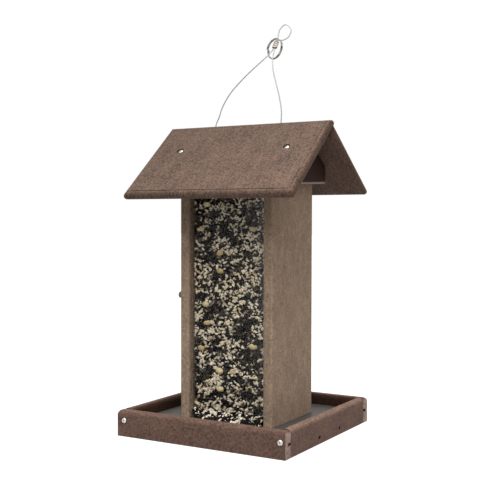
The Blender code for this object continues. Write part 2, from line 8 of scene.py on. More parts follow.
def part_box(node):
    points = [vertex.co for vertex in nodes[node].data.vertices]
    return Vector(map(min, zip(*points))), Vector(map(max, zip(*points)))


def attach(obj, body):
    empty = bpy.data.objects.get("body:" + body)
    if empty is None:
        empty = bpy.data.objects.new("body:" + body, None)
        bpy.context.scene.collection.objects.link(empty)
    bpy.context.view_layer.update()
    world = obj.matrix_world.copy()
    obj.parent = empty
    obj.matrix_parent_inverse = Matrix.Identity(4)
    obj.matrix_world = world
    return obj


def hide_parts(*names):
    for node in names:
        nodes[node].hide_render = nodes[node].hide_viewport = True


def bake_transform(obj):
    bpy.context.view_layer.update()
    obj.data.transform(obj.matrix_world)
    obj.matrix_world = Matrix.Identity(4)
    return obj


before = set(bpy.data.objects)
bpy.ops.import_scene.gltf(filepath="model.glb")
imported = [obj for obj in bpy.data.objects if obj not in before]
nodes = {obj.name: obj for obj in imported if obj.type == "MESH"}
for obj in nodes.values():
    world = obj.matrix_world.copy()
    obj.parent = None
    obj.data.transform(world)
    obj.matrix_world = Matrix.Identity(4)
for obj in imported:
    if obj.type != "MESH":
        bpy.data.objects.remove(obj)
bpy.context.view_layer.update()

bothSides = (("left", -1), ("right", 1))
print("frame loaded:", len(nodes), "pieces")


# helpers for modelling

def objectMode():
    bpy.ops.object.mode_set(mode="OBJECT")


def deselect():
    if bpy.context.object and bpy.context.object.mode != "OBJECT":
        objectMode()
    bpy.ops.object.select_all(action="DESELECT")


def pick(piece):
    deselect()
    piece.select_set(True)
    bpy.context.view_layer.objects.active = piece
    return piece


def editAll(piece):
    pick(piece)
    bpy.ops.object.mode_set(mode="EDIT")
    bpy.ops.mesh.select_all(action="SELECT")


def bakePlace(piece):
    pick(piece)
    bpy.ops.object.transform_apply(location=True, rotation=True, scale=True)
    return piece


def smooth(piece, angle=32):
    pick(piece)
    bpy.ops.object.shade_smooth_by_angle(angle=math.radians(angle))
    return piece


def loft(name, rings, sides=0):
    # rings are (half width, half depth, height), each extruded from the last; sides makes the section round
    deselect()
    if sides:
        bpy.ops.mesh.primitive_circle_add(vertices=sides, radius=1, fill_type="NGON")
    else:
        bpy.ops.mesh.primitive_plane_add(size=2)
    piece = bpy.context.object
    piece.name = name
    editAll(piece)
    width, depth, height = rings[0]
    bpy.ops.transform.resize(value=(width, depth, 1))
    bpy.ops.transform.translate(value=(0, 0, height))
    for lower, upper in zip(rings, rings[1:]):
        bpy.ops.mesh.extrude_region_move(TRANSFORM_OT_translate={"value": (0, 0, upper[2] - lower[2])})
        scale = (upper[0] / lower[0], upper[1] / lower[1], 1)
        bpy.ops.transform.resize(value=scale, center_override=(0, 0, upper[2]))
    bpy.ops.mesh.select_all(action="SELECT")
    bpy.ops.mesh.normals_make_consistent(inside=False)
    objectMode()
    return piece


def boardRings(width, depth, thick, under, over, step=0.0, ends=True):
    # edge profile of a board from underside to top: a lower round, an upper round and a small router step
    angles = [math.pi / 2 * k / 8 for k in range(9)]
    rings = [(under * (1 - math.sin(a)), under * (1 - math.cos(a))) for a in angles]
    rings += [(over * (1 - math.cos(a)), thick - step - over * (1 - math.sin(a))) for a in angles]
    if step:
        rings.append((over, thick))
    return [(width / 2 - inset, depth / 2 - (inset if ends else 0), z) for inset, z in rings]


def cutAway(piece, cutters):
    for cutter in cutters:
        pick(piece)
        cut = piece.modifiers.new("cut", "BOOLEAN")
        cut.operation = "DIFFERENCE"
        cut.solver = "EXACT"
        cut.object = cutter
        bpy.ops.object.modifier_apply(modifier="cut")
        bpy.data.objects.remove(cutter, do_unlink=True)
    return piece


drillLead = 0.005       # how far outside the surface a drill starts
pilotRadius = 0.0020    # hole for the thread of a screw


def drill(place, direction, depth, radius=pilotRadius, sides=20):
    deselect()
    direction = Vector(direction).normalized()
    middle = Vector(place) + direction * (depth - drillLead) / 2
    turn = direction.to_track_quat("Z", "Y").to_euler()
    bpy.ops.mesh.primitive_cylinder_add(vertices=sides, radius=radius, depth=depth + drillLead,
                                        location=middle, rotation=turn)
    return bakePlace(bpy.context.object)


def addBox(low, high, name="cutter"):
    deselect()
    low, high = Vector(low), Vector(high)
    bpy.ops.mesh.primitive_cube_add(size=1, location=(low + high) / 2, scale=high - low)
    bpy.context.object.name = name
    return bakePlace(bpy.context.object)


def camelName(node):
    first, *rest = node.split("_")
    return first + "".join(word.title() for word in rest)


def setMaterial(piece, material):
    piece.data.materials.clear()
    piece.data.materials.append(material)


def finishPiece(piece, material, body, replaced=()):
    setMaterial(piece, material)
    if replaced:
        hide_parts(*replaced)
    if body:
        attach(piece, body)
    return piece


def meshFrom(name, points, faces):
    mesh = bpy.data.meshes.new(name)
    mesh.from_pydata([tuple(p) for p in points], [], [tuple(f) for f in faces])
    mesh.update()
    piece = bpy.data.objects.new(name, mesh)
    bpy.context.scene.collection.objects.link(piece)
    return piece


# helpers for materials

def linear(code):
    values = [int(code[k:k + 2], 16) / 255 for k in (1, 3, 5)]
    return tuple(v / 12.92 if v <= 0.04045 else ((v + 0.055) / 1.055) ** 2.4 for v in values) + (1.0,)


def addNode(tree, kind, settings=None, links=None, out=0):
    # a node with its settings and the links into it; one of its outputs comes back
    node = tree.nodes.new("ShaderNode" + kind)
    for key, value in (settings or {}).items():
        if isinstance(key, str) and hasattr(node, key):
            setattr(node, key, value)
        else:
            node.inputs[key].default_value = value
    for key, source in (links or {}).items():
        tree.links.new(source, node.inputs[key])
    return node.outputs[out]


def newMaterial(name, settings):
    material = bpy.data.materials.new(name)
    material.use_nodes = True
    tree = material.node_tree
    shader = tree.nodes["Principled BSDF"]
    for key, value in settings.items():
        shader.inputs[key].default_value = value
    return material, tree, shader


def wire(tree, shader, links):
    for key, source in links.items():
        tree.links.new(source, shader.inputs[key])


def seenInPicture(tree):
    # 1 for what the camera sees, straight, through a pane or mirrored, and 0 for what only lights the scene
    seen = addNode(tree, "LightPath", out="Is Camera Ray")
    for ray in ("Is Glossy Ray", "Is Transmission Ray"):
        other = addNode(tree, "LightPath", out=ray)
        seen = addNode(tree, "Math", {"operation": "MAXIMUM"}, {0: seen, 1: other})
    return seen


# camera, where the photograph was taken from

shot = {"place": (0.5720, -0.9904, 0.2624), "azimuth": 30.30, "down": 1.48, "roll": 0.10, "lens": 68.07}


def addCamera():
    azimuth, down, roll = (math.radians(shot[key]) for key in ("azimuth", "down", "roll"))
    level = Matrix.Rotation(azimuth, 3, "Z") @ Matrix.Rotation(math.pi / 2 - down, 3, "X")
    deselect()
    bpy.ops.object.camera_add(location=shot["place"])
    camera = bpy.context.object
    camera.rotation_euler = (level @ Matrix.Rotation(roll, 3, "Z")).to_euler()
    camera.data.lens = shot["lens"]
    camera.data.sensor_width = 36
    camera.data.clip_end = 30
    bpy.context.scene.camera = camera


addCamera()
print("camera placed")


# hanging cable: galvanised 7x7 steel cable, 1.5 mm, stiff enough to stand up

cable = {
    "diameter": 0.0015,
    "lay": 0.009,          # length of one turn of its strands
    "groove": 0.03,        # depth of the grooves between strands, as a share of the radius
    "legX": 0.0466,
    "lugX": 0.0485,        # the legs run out to their lugs below
    "legBend": 0.3667,     # and are upright from here
    "legStretch": (0.330, 0.372),       # heights between which a lifted roof would stretch the legs; nothing here uses them
    "hangerBend": (0.372, 0.466),       # and would bend the hanger; not used either
    "split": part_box("left_cable_leg")[1].z,      # inside the ridge holes, where the legs end
    "splitGap": 0.00015,   # and how far above that the hanger starts
    "spacing": 0.0005,     # of the points along the hanger
    "legSpacing": 0.0006,  # and along the legs
    "leftRun": [(-0.0457, 0, 0.3815), (-0.0409, -0.0002, 0.3912), (-0.0371, -0.0004, 0.4010),
                (-0.0255, -0.0003, 0.4186), (-0.0068, 0.0002, 0.4363), (0.0099, 0.0018, 0.4500),
                (0.0244, 0.0060, 0.4628)],
    "topLoop": [(0.0336, 0.0176, 0.4882), (0.0351, 0.0196, 0.4971), (0.0418, 0.0214, 0.5026),
                (0.0501, 0.0203, 0.4958), (0.0491, 0.0185, 0.4884), (0.0455, 0.0174, 0.4845),
                (0.0404, 0.0165, 0.4829)],
    "rightRun": [(0.0323, 0.0057, 0.4571), (0.0354, 0.0020, 0.4428), (0.0403, 0, 0.4281),
                 (0.0449, -0.0006, 0.4119), (0.0480, -0.0004, 0.3941), (0.0474, 0, 0.3815)],
}
sleeve = {"foot": (0.0316, 0.0112, 0.4728), "head": (0.0335, 0.0147, 0.4815), "width": 0.0066,
          "thick": 0.0042, "strands": 0.0024, "runOut": 0.0020,
          "pinches": (0.24, 0.50, 0.76),       # where it is squeezed, as shares of its length
          "mouth": (0.0008, 0.0014)}           # heights over its foot between which the painted shade in its mouth ends


def share(one, two, start, finish, t):
    part = (t - start) / (finish - start)
    return one * (1 - part) + two * part


def smoothRoute(points, spacing):
    # a smooth curve through given points, then points at an even spacing along it
    knots = np.array([tuple(p) for p in points])
    ends = np.vstack([2 * knots[0] - knots[1], knots, 2 * knots[-1] - knots[-2]])
    dense = []
    for before, start, finish, after in zip(ends, ends[1:], ends[2:], ends[3:]):
        stops = [0.0]
        for one, two in ((before, start), (start, finish), (finish, after)):
            stops.append(stops[-1] + math.sqrt(np.linalg.norm(two - one)))
        for t in np.linspace(stops[1], stops[2], 24, endpoint=False):
            first = share(before, start, stops[0], stops[1], t)
            second = share(start, finish, stops[1], stops[2], t)
            third = share(finish, after, stops[2], stops[3], t)
            lower = share(first, second, stops[0], stops[2], t)
            upper = share(second, third, stops[1], stops[3], t)
            dense.append(share(lower, upper, stops[1], stops[2], t))
    dense.append(knots[-1])
    dense = np.array(dense)
    walked = np.concatenate([[0], np.cumsum(np.linalg.norm(np.diff(dense, axis=0), axis=1))])
    places = np.linspace(0, walked[-1], max(2, round(walked[-1] / spacing) + 1))
    return np.column_stack([np.interp(places, walked, dense[:, k]) for k in range(3)])


def sweep(name, path, radius, sides=24, strands=0, lay=0.009, groove=0.0):
    # a capped tube along a path; strands twist round it with grooves between them
    path = np.asarray(path)
    along = np.gradient(path, axis=0)
    along /= np.linalg.norm(along, axis=1)[:, None]
    walked = np.concatenate([[0], np.cumsum(np.linalg.norm(np.diff(path, axis=0), axis=1))])
    across = np.cross(along[0], (0.3, 0.9, 0.2))    # square to the path, from any way that it doesn't take
    points = []
    for place, ahead, distance in zip(path, along, walked):
        across = across - ahead * across.dot(ahead)
        across /= np.linalg.norm(across)
        beside = np.cross(ahead, across)
        for k in range(sides):
            a = 2 * math.pi * k / sides
            reach = radius
            if strands:
                reach *= 1 - groove * (1 - abs(math.cos(a * strands / 2)))
                a += 2 * math.pi * distance / lay
            points.append(place + reach * (math.cos(a) * across + math.sin(a) * beside))
    faces = []
    for ring in range(len(path) - 1):
        for k in range(sides):
            after = (k + 1) % sides
            base = ring * sides
            faces.append((base + k, base + after, base + sides + after, base + sides + k))
    last = (len(path) - 1) * sides
    faces.append(tuple(reversed(range(sides))))
    faces.append(tuple(last + k for k in range(sides)))
    return smooth(meshFrom(name, points, faces), 50)


def sleeveFrame():
    foot, head = Vector(sleeve["foot"]), Vector(sleeve["head"])
    axis = (head - foot).normalized()
    across = Vector((0, 1, 0)).cross(axis).normalized()
    return foot, head, axis, across


def hangerRoute():
    foot, head, axis, across = sleeveFrame()
    shift = across * sleeve["strands"] / 2
    start, finish = foot - axis * sleeve["runOut"], head + axis * sleeve["runOut"]
    rising = [start.lerp(finish, k / 3) for k in range(4)]
    left = [p - shift for p in rising]
    right = [p + shift for p in reversed(rising)]
    split = cable["split"] + cable["splitGap"]
    start, finish = (-cable["legX"], 0, split), (cable["legX"], 0, split)
    return [start, *cable["leftRun"], *left, *cable["topLoop"], *right, *cable["rightRun"], finish]


hangerPath = smoothRoute(hangerRoute(), cable["spacing"])
cableLook = {"sides": 24, "strands": 6, "lay": cable["lay"], "groove": cable["groove"]}
hanger = sweep("hangerCable", hangerPath, cable["diameter"] / 2, **cableLook)

legs = []
for name, side in bothSides:
    low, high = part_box(name + "_cable_leg")
    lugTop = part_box(name + "_cable_lug")[1].z
    foot, head = side * cable["lugX"], side * cable["legX"]
    stops = [(foot, 0, low.z), (foot, 0, lugTop), (head, 0, cable["legBend"]), (head, 0, high.z)]
    route = smoothRoute(stops, cable["legSpacing"])
    legs.append(sweep(name + "CableLeg", route, cable["diameter"] / 2, **cableLook))


# crimped sleeve and split ring on the cable

def makeSleeve():
    # an oval aluminium crimp, squeezed in three places, with eased ends
    foot, head, axis, across = sleeveFrame()
    length = (head - foot).length
    w, d = sleeve["width"] / 2, sleeve["thick"] / 2
    # shares of width and thickness, and the way along
    eased = ((0.80, 0.72, 0), (0.93, 0.90, 0.0002), (1, 1, 0.0008))
    pinched = ((1, 1, -0.0011), (1.02, 0.80, -0.0005), (1.02, 0.78, 0.0005), (1, 1, 0.0011))
    rings = [(w * wide, d * deep, z) for wide, deep, z in eased]
    for part in sleeve["pinches"]:
        rings += [(w * wide, d * deep, length * part + z) for wide, deep, z in pinched]
    rings += [(w * wide, d * deep, length - z) for wide, deep, z in reversed(eased)]
    piece = loft("crimpSleeve", rings, sides=32)
    through = axis.cross(across)
    turn = Matrix((across, through, axis)).transposed().to_4x4()
    piece.matrix_world = Matrix.Translation(foot) @ turn
    bakePlace(piece)
    return smooth(piece, 50)


ring = {"centre": (0.0326, 0.0108, 0.4721), "normal": (0.333, 0.927, -0.175), "outer": 0.0264,
        "wire": 0.0013, "pitch": 0.0018, "turns": 2, "steps": 72}


def makeRing():
    # two turns of round spring wire, side by side
    radius = (ring["outer"] - ring["wire"]) / 2
    turn = Vector(ring["normal"]).to_track_quat("Z", "Y").to_matrix()
    path = []
    for k in range(ring["turns"] * ring["steps"] + 1):
        a = 2 * math.pi * k / ring["steps"]
        rise = ring["pitch"] * (k / ring["steps"] - ring["turns"] / 2)
        reach = Vector((radius * math.cos(a), radius * math.sin(a), rise))
        path.append(Vector(ring["centre"]) + turn @ reach)
    return sweep("splitRing", path, ring["wire"] / 2, sides=14)


crimp = makeSleeve()
splitRing = makeRing()
print("sleeve and ring made")


# recycled board: extruded HDPE, brushed matt, in fine flecks of the colours of what it was made from

def polyLumber(name, look):
    settings = {"Roughness": look["rough"], "IOR": 1.49, "Specular IOR Level": look["gloss"]}
    material, tree, shader = newMaterial(name, settings)
    place = addNode(tree, "TexCoord", out="Object")
    grainWay = addNode(tree, "Mapping", {"Scale": look["stretch"]}, {"Vector": place})
    speckLook = {"Scale": 1 / look["speck"], "Detail": 2, "Roughness": 0.65}
    speck = addNode(tree, "TexNoise", speckLook, {"Vector": place})
    grainLook = {"Scale": 1 / look["grain"], "Detail": 2, "Roughness": 0.6}
    grain = addNode(tree, "TexNoise", grainLook, {"Vector": grainWay})
    cloud = addNode(tree, "TexNoise", {"Scale": 1 / look["cloud"], "Detail": 2}, {"Vector": grainWay})
    grainShare = 0.45
    both = addNode(tree, "Math", {"operation": "MULTIPLY_ADD", 1: grainShare}, {0: grain, 2: speck})
    total = addNode(tree, "Math", {"operation": "MULTIPLY_ADD", 1: look["cloudy"]}, {0: cloud, 2: both})
    # each noise lies round 0.49, and the spread of the three is mapped on to dark and light board
    middle = 0.49 * (1 + grainShare + look["cloudy"])
    level = addNode(tree, "MapRange", {1: middle - look["spread"], 2: middle + look["spread"]}, {0: total})
    shades = {"data_type": "RGBA", 6: linear(look["dark"]), 7: linear(look["light"])}
    board = addNode(tree, "Mix", shades, {0: level}, out=2)
    facing = addNode(tree, "NewGeometry", out="Normal")
    tints = []
    for rule in look["faces"]:
        # faces told by the way they look get another shade: sawn ends are paler, the roof's ends and the
        # blocks get painted shade, and the right rail's top a painted highlight
        along = {"operation": "DOT_PRODUCT", 1: rule["way"]}
        turned = addNode(tree, "VectorMath", along, {0: facing}, out="Value")
        size = addNode(tree, "Math", {"operation": "ABSOLUTE"}, {0: turned})
        amount = addNode(tree, "MapRange", {1: rule["none"], 2: rule["full"]}, {0: size})
        tints.append((amount, rule["tint"]))
    if look["inner"]:
        # painted shade: faces that look in towards the middle of the feeder are drawn darker
        outward = addNode(tree, "VectorMath", {"operation": "MULTIPLY", 1: (1, 1, 0)}, {0: place})
        pair = {0: facing, 1: outward}
        turned = addNode(tree, "VectorMath", {"operation": "DOT_PRODUCT"}, pair, out="Value")
        tints.append((addNode(tree, "MapRange", {1: -0.02, 2: -0.08}, {0: turned}), look["inner"]))
    fade = look["fade"]
    if fade:
        # painted light: the board is drawn lighter towards one way
        along = {"operation": "DOT_PRODUCT", 1: fade["way"]}
        reach = addNode(tree, "VectorMath", along, {0: place}, out="Value")
        tints.append((addNode(tree, "MapRange", {1: fade["from"], 2: fade["to"]}, {0: reach}), fade["tint"]))
    for amount, tint in tints:
        tinted = {"data_type": "RGBA", "blend_type": "MULTIPLY", 7: tint + (1,)}
        board = addNode(tree, "Mix", tinted, {0: amount, 6: board}, out=2)
    wear = {1: 0.3, 2: 0.7, 3: look["rough"] - 0.08, 4: look["rough"] + 0.08}
    rough = addNode(tree, "MapRange", wear, {0: speck})
    bump = addNode(tree, "Bump", {"Strength": look["bump"], "Distance": 0.0003}, {"Height": both})
    wire(tree, shader, {"Base Color": board, "Roughness": rough, "Normal": bump})
    return material


pitch, lean = math.radians(38.0), math.radians(2.3)
frontSlope, backSlope = pitch + lean, pitch - lean
# painted shade darkens the roof's ends and the gable blocks, a saw left the rails' ends pale, and a painted
# highlight lightens the right rail's top
rakes = {"way": (1, 0, 0), "none": 0.30, "full": 0.80, "tint": (0.64, 0.58, 0.55)}
sawnEnds = {"way": (1, 0, 0), "none": 0.80, "full": 0.97, "tint": (2.45, 2.90, 3.15)}
paintedLitTop = {"way": (0, 0, 1), "none": 0.25, "full": 0.80, "tint": (1.55, 1.65, 1.68)}
shadedFace = {"way": (1, 0, 0), "none": 0.80, "full": 0.97, "tint": (0.05, 0.02, 0.01)}
# and painted light brightens the roof towards its right end and its eaves, and the foot of the uprights
paintedLitRoof = {"way": (1, 0, -2.3), "from": -0.980, "to": -0.557, "tint": (1.53, 1.51, 1.52)}
paintedLitFoot = {"way": (0, 0, -1), "from": -0.220, "to": -0.030, "tint": (1.12, 1.14, 1.16)}
# specks and grain are drawn a little coarser than the real flecks, so that they show
brown = {"dark": "#3c3029", "light": "#725d50", "stretch": (1, 0.4, 0.4), "speck": 0.0024, "grain": 0.0022,
         "cloud": 0.014, "cloudy": 0.30, "spread": 0.21, "rough": 0.70, "gloss": 0.15, "bump": 0.30,
         "faces": (rakes,), "inner": None, "fade": paintedLitRoof}
# the rails' and the uprights' inner tints below are painted shade
railBrown = dict(brown, spread=0.27, dark="#47352d", light="#866a5d", stretch=(0.4, 1, 1), faces=(),
                 fade=None, inner=(0.28, 0.22, 0.17))
railCrosswise = dict(railBrown, stretch=(1, 0.4, 1))
taupe = dict(brown, dark="#756354", light="#b59b83", stretch=(0.7, 0.7, 0.45), cloud=0.007,
             cloudy=0.45, spread=0.28, faces=(), fade=paintedLitFoot, inner=(0.50, 0.55, 0.63))
brownRoof = polyLumber("brownRoofBoard", brown)
brownAlongX = polyLumber("brownRecycledBoard", dict(railBrown, faces=(sawnEnds,)))
brownAlongY = polyLumber("brownRecycledBoardCrosswise", railCrosswise)
brownPaintedLitTop = polyLumber("brownPaintedLitTopBoard", dict(railCrosswise, faces=(paintedLitTop,)))
# the gable blocks' board is drawn pale, a painted highlight on their rounded edges, and painted shade
# darkens their end faces
brownBlockShadeAndHighlight = polyLumber("brownBlockShadeAndHighlightBoard", dict(railBrown, dark="#8a7468", light="#b49e90",
                                                faces=(shadedFace,), inner=None))
taupeUpright = polyLumber("taupeRecycledBoard", taupe)
print("board materials made")


# roof boards, each rounded all round by a router, whose bit left a fine step on the outer face

roof = {"length": 0.2306, "slope": 0.1361, "board": 0.0127, "apex": 0.3810, "round": 0.0060, "step": 0.0006,
        "screwSlope": 0.0523, "screwX": (-0.0735, 0.0755), "pocket": 0.0043, "sink": 0.0033, "gap": 0.0003,
        "cableHole": 0.00165}
# the roof is laid out level round its ridge line, then leans forward a little on the uprights
rig = Matrix.Translation((0, 0, roof["apex"])) @ Matrix.Rotation(lean, 4, "X")


def roofScrewMark(face, x):
    # where a roof screw meets the outer face, and its way in
    down = roof["screwSlope"]
    mark = rig @ Vector((x, face * down * math.cos(pitch), -down * math.sin(pitch)))
    inward = rig.to_3x3() @ Vector((0, -face * math.sin(pitch), -math.cos(pitch)))
    return mark, inward


def roofBoard(node, face):
    thick = roof["board"]
    overrun = thick / 2 - math.tan(pitch) * thick / 2
    length = roof["slope"] + overrun
    run = (roof["slope"] - overrun) / 2
    over = roof["round"] - roof["step"]
    rings = boardRings(roof["length"], length, thick, roof["round"], over, roof["step"])
    board = loft(camelName(node), rings)
    y = face * (run * math.cos(pitch) - thick / 2 * math.sin(pitch))
    z = -run * math.sin(pitch) - thick / 2 * math.cos(pitch)
    turn = Matrix.Rotation(-face * pitch, 4, "X")
    board.matrix_world = rig @ Matrix.Translation((0, y, z)) @ turn @ Matrix.Translation((0, 0, -thick / 2))
    bakePlace(board)
    if face > 0:
        # the back board is cut upright where it meets the rounded ridge of the front one
        editAll(board)
        point = rig @ Vector((0, thick / 2 + roof["gap"], 0))
        way = rig.to_3x3() @ Vector((0, 1, 0))
        bpy.ops.mesh.bisect(plane_co=point, plane_no=way, use_fill=True, clear_inner=True)
        objectMode()
    cutters = []
    for x in roof["screwX"]:
        mark, inward = roofScrewMark(face, x)
        cutters.append(drill(mark, inward, roof["sink"], roof["pocket"], sides=32))
        cutters.append(drill(mark, inward, depth=0.020))
    if face < 0:
        for side in (-1, 1):
            top = (side * cable["legX"], 0, roof["apex"])
            cutters.append(drill(top, (0, 0, -1), depth=0.03, radius=roof["cableHole"]))
    cutAway(board, cutters)
    return finishPiece(smooth(board), brownRoof, "roof", [node])


roofBoard("roof_board_front", -1)
roofBoard("roof_board_back", 1)
print("roof boards made")


# tray rails, rounded along the top; front and back ones run past the side rails

tray = {"half": 0.1143, "board": 0.0127, "height": 0.0320, "round": 0.0058, "ease": 0.0008, "gap": 0.0003,
        "slotLow": 0.0142, "slotHigh": 0.0178, "slotDepth": 0.0064,
        "sideHole": 0.0564, "sideHoleHeight": 0.00785, "sideHoleRadius": 0.0028, "sideHoleDepth": 0.0050,
        "cornerX": (-0.1046, 0.1084), "cornerScrewHeight": 0.0194, "leftSink": 0.0014, "leftPocket": 0.0041,
        "screwDepth": 0.03}


def rail(node, along, side, material):
    name, half, thick = camelName(node), tray["half"], tray["board"]
    edges = (tray["height"], tray["ease"], tray["round"])
    if along == "X":
        board = loft(name, boardRings(2 * half, thick, *edges))
        board.location = (0, side * (half - thick / 2), 0)
    else:
        board = loft(name, boardRings(thick, 2 * (half - thick - tray["gap"]), *edges, ends=False))
        board.location = (side * (half - thick / 2), 0, 0)
    bakePlace(board)
    inner = half - thick
    low, high = sorted((side * (inner - 0.002), side * (inner + tray["slotDepth"])))
    if along == "X":
        cutters = [addBox((-half - 0.01, low, tray["slotLow"]), (half + 0.01, high, tray["slotHigh"]))]
        for x in tray["cornerX"]:
            mark = (x, side * half, tray["cornerScrewHeight"])
            cutters.append(drill(mark, (0, -side, 0), tray["screwDepth"]))
            if x < 0:
                cutters.append(drill(mark, (0, -side, 0), tray["leftSink"], tray["leftPocket"], sides=32))
    else:
        cutters = [addBox((low, -half, tray["slotLow"]), (high, half, tray["slotHigh"]))]
        for end in (-1, 1):
            mark = (side * half, end * tray["sideHole"] / 2, tray["sideHoleHeight"])
            cutters.append(drill(mark, (-side, 0, 0), tray["sideHoleDepth"], tray["sideHoleRadius"], 24))
            cutters.append(drill(mark, (-side, 0, 0), tray["screwDepth"]))
    cutAway(board, cutters)
    return finishPiece(smooth(board), material, "base", [node])


rail("front_rail", "X", -1, brownAlongX)
rail("back_rail", "X", 1, brownAlongX)
rail("left_rail", "Y", -1, brownAlongY)
rail("right_rail", "Y", 1, brownPaintedLitTop)
print("tray rails made")


# uprights and gable blocks, cut from the same board and shaped to the roof

hopper = {"round": 0.0030, "paneY": 0.0457, "groove": 0.0016, "grooveReach": 0.0050, "grooveFoot": 0.0297,
          "screwHole": 0.0022, "screwHeight": 0.1680, "paneEdge": 0.00025}
block = {"inner": 0.0662, "thick": 0.0159, "half": 0.0535, "height": 0.0606, "crown": 0.0080,
         "round": 0.0045}


def bevelEdges(piece, chosen, width, segments=6):
    pick(piece)
    bpy.ops.object.mode_set(mode="EDIT")
    bpy.ops.mesh.select_mode(type="EDGE")
    bpy.ops.mesh.select_all(action="DESELECT")
    objectMode()
    points = piece.data.vertices
    for edge in piece.data.edges:
        one, two = (points[k].co for k in edge.vertices)
        edge.select = bool(chosen(one, two))
    bpy.ops.object.mode_set(mode="EDIT")
    bpy.ops.mesh.bevel(offset=width, segments=segments, affect="EDGES", clamp_overlap=True)
    bpy.ops.mesh.select_mode(type="VERT")
    objectMode()
    return piece


def roofCutters(frontWay, backWay):
    # what the roof boards take away, at a gap below them, each seen along its own slope
    below, reach, overlap = roof["board"] + roof["gap"], 0.2, 0.001
    cutters = []
    for face, way in ((-1, frontWay), (1, backWay)):
        near, far = sorted((0, face * reach))
        cutter = addBox((-reach, near - overlap, -below), (reach, far + overlap, reach / 2))
        cutter.matrix_world = Matrix.Rotation(-face * way, 4, "X")
        cutters.append(bakePlace(cutter))
    return cutters


def upright(name, side):
    low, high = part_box(name + "_upright")
    piece = addBox(low, high, name + "Upright")
    bevelEdges(piece, lambda one, two: abs(one.z - two.z) > 0.1, hopper["round"])
    cutters = roofCutters(frontSlope, backSlope)
    for cutter in cutters:
        cutter.location = (0, 0, roof["apex"])
        bakePlace(cutter)
    inner = low.x if side > 0 else high.x
    for face in (-1, 1):
        near, far = sorted((inner - side * 0.002, inner + side * hopper["grooveReach"]))
        middle, half = face * hopper["paneY"], hopper["groove"]
        cutters.append(addBox((near, middle - half, hopper["grooveFoot"]), (far, middle + half, 0.4)))
        if side < 0:
            mark = (low.x, middle, hopper["screwHeight"])
            cutters.append(drill(mark, (1, 0, 0), depth=0.02, radius=hopper["screwHole"], sides=24))
    lugScrew = sum(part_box("lug_screw_" + name), Vector()) / 2
    cutters.append(drill((inner, 0, lugScrew.z), (side, 0, 0), depth=0.0115))
    cutAway(piece, cutters)
    return finishPiece(smooth(piece), taupeUpright, "base", [name + "_upright"])


def gableBlock(name, side):
    foot = -roof["board"] / math.cos(pitch) - block["height"]
    crown = -(roof["board"] + roof["gap"]) / math.cos(pitch) - block["crown"] / 2 * math.tan(pitch)
    near, far = sorted((side * block["inner"], side * (block["inner"] + block["thick"])))
    piece = addBox((near, -block["half"], foot), (far, block["half"], crown), name + "GableBlock")
    outer = near if side < 0 else far

    def seen(one, two):
        onFace = abs(one.x - outer) < 1e-5 and abs(two.x - outer) < 1e-5
        return onFace and (abs(one.z - two.z) > 0.01 or max(one.z, two.z) < foot + 0.001)

    bevelEdges(piece, seen, block["round"])
    cutAway(piece, roofCutters(pitch, pitch))
    piece.matrix_world = rig
    bakePlace(piece)
    cutters = []
    for face in (-1, 1):
        mark, inward = roofScrewMark(face, roof["screwX"][side > 0])
        cutters.append(drill(mark, inward, depth=0.0303))
    cutAway(piece, cutters)
    return finishPiece(smooth(piece), brownBlockShadeAndHighlight, "roof", ["gable_block_" + name])


for name, side in bothSides:
    upright(name, side)
    gableBlock(name, side)
setMaterial(nodes["seed_baffle"], taupeUpright)
setMaterial(nodes["base_plank"], brownAlongX)
print("uprights and gable blocks made")


# tray floor: extruded grey sheet, smooth, with the faint scuffs of a sheet that seed slides on

sheet = {"dark": "#423f3d", "light": "#514d4a", "cloud": 0.02222, "scuff": 0.001111}


def greySheet():
    material, tree, shader = newMaterial("greyExtrudedSheet", {"Roughness": 0.5, "Specular IOR Level": 0.35})
    place = addNode(tree, "TexCoord", out="Object")
    cloudLook = {"Scale": 1 / sheet["cloud"], "Detail": 3, "Roughness": 0.6}
    cloud = addNode(tree, "TexNoise", cloudLook, {"Vector": place})
    scuff = addNode(tree, "TexNoise", {"Scale": 1 / sheet["scuff"], "Detail": 1}, {"Vector": place})
    both = addNode(tree, "Math", {"operation": "MULTIPLY_ADD", 1: 0.4}, {0: scuff, 2: cloud})
    level = addNode(tree, "MapRange", {1: 0.45, 2: 0.95}, {0: both})
    shades = {"data_type": "RGBA", 6: linear(sheet["dark"]), 7: linear(sheet["light"])}
    colour = addNode(tree, "Mix", shades, {0: level}, out=2)
    bump = addNode(tree, "Bump", {"Strength": 0.12, "Distance": 0.0003}, {"Height": both})
    wire(tree, shader, {"Base Color": colour, "Normal": bump})
    return material


# steel, zinc and aluminium, cold formed and tumbled: a metal's shine, broken by fine dull marks, and on the
# ring by painted reflections

